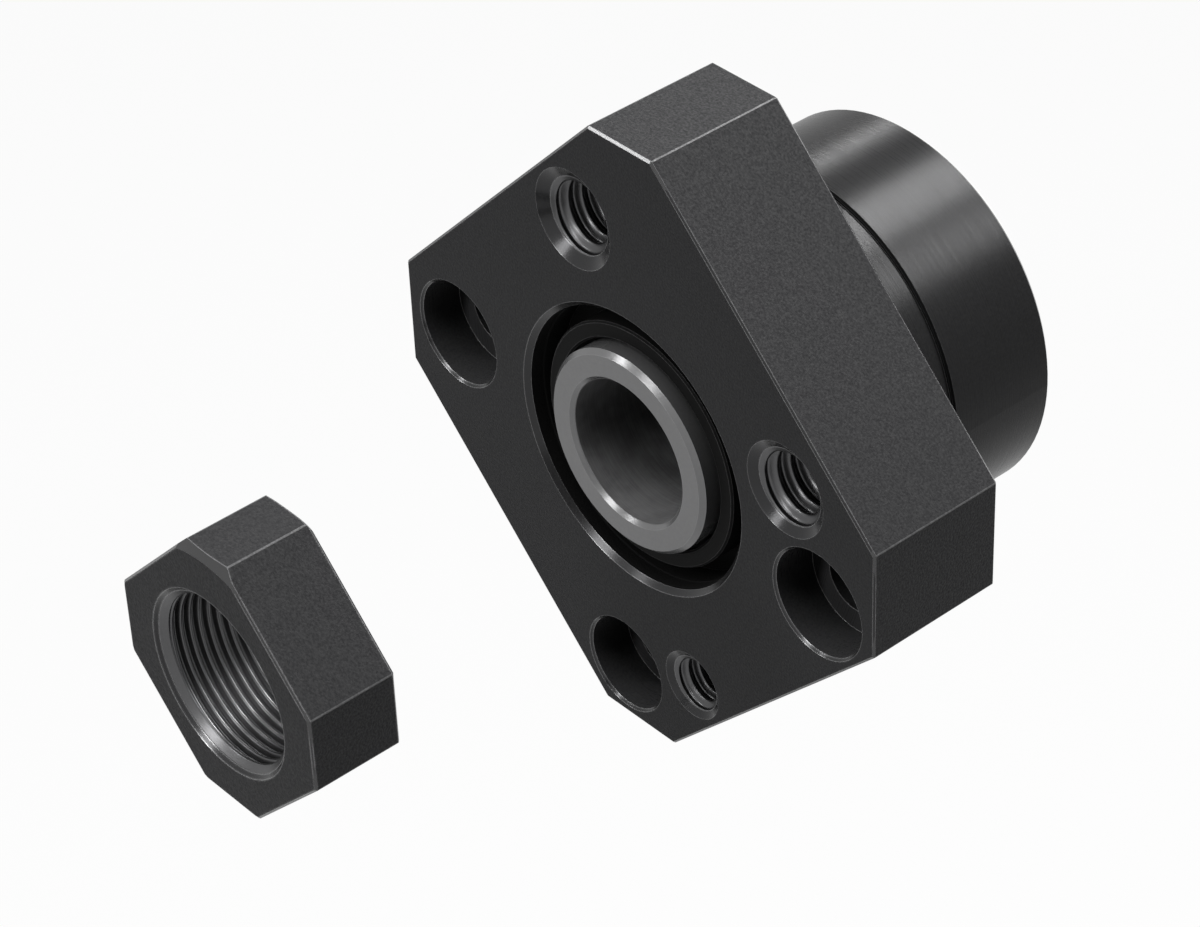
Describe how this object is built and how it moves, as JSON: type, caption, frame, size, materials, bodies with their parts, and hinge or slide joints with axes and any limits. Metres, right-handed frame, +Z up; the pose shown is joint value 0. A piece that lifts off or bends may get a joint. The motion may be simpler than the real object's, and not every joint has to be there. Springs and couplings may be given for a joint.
{
  "type": "ball screw end support",
  "caption": "Flange bearing support for a ball screw's end: flange with cut corners, round pilot, paired ball bearings, collars and a lock nut.",
  "frame": {"origin": "on the screw's axis, in the plane of the mounting face behind the flange", "axes": "+Y along the screw's axis from the flange to the pilot's end, +Z up, +X to the right seen from the front"},
  "size_m": [0.0648, 0.0849, 0.0673],
  "materials": {
    "black_steel": "black oxide, satin",
    "black_steel_turned": "black oxide, turned",
    "black_steel_nut": "black oxide, satin",
    "black_steel_screw": "black oxide",
    "ground_steel": "fine ground",
    "bearing_steel": "ground and honed",
    "ball_steel": "polished",
    "cage_plastic": "moulded",
    "seal_rubber": "matt",
    "plug_brass": "plain"
  },
  "bodies": {
    "housing": {"housing": "black_steel", "front_seal_ring": "black_steel_turned", "front_seal_lip": "seal_rubber", "front_bearing_outer_ring": "bearing_steel", "outer_spacer": "ground_steel", "rear_bearing_outer_ring": "bearing_steel", "rear_lid": "black_steel_turned", "rear_seal_lip": "seal_rubber"},
    "spindle": {"front_collar": "ground_steel", "front_bearing_inner_ring": "bearing_steel", "inner_spacer": "ground_steel", "rear_bearing_inner_ring": "bearing_steel", "rear_collar": "ground_steel"},
    "front_ball_set": {"front_bearing_cage": "cage_plastic", "front_bearing_balls": "ball_steel"},
    "rear_ball_set": {"rear_bearing_cage": "cage_plastic", "rear_bearing_balls": "ball_steel"},
    "lock_nut": {"lock_nut": "black_steel_nut", "lock_nut_set_screw": "black_steel_screw", "lock_nut_soft_plug": "plug_brass"}
  },
  "joints": [
    {"name": "spindle_spin", "type": "hinge", "parent": "housing", "child": "spindle", "pos_m": [0, 0, 0], "axis": [0, 1, 0], "continuous": true},
    {"name": "front_ball_set_spin", "type": "hinge", "parent": "housing", "child": "front_ball_set", "pos_m": [0, 0, 0], "axis": [0, 1, 0], "continuous": true},
    {"name": "rear_ball_set_spin", "type": "hinge", "parent": "housing", "child": "rear_ball_set", "pos_m": [0, 0, 0], "axis": [0, 1, 0], "continuous": true},
    {"name": "lock_nut_slide", "type": "slide", "parent": "spindle", "child": "lock_nut", "axis": [0, 1, 0], "range_m": [0, 0.0384]}
  ],
  "couplings": [
    {"joint": "front_ball_set_spin", "follows": "spindle_spin", "ratio": 0.4123},
    {"joint": "rear_ball_set_spin", "follows": "spindle_spin", "ratio": 0.4123}
  ]
}
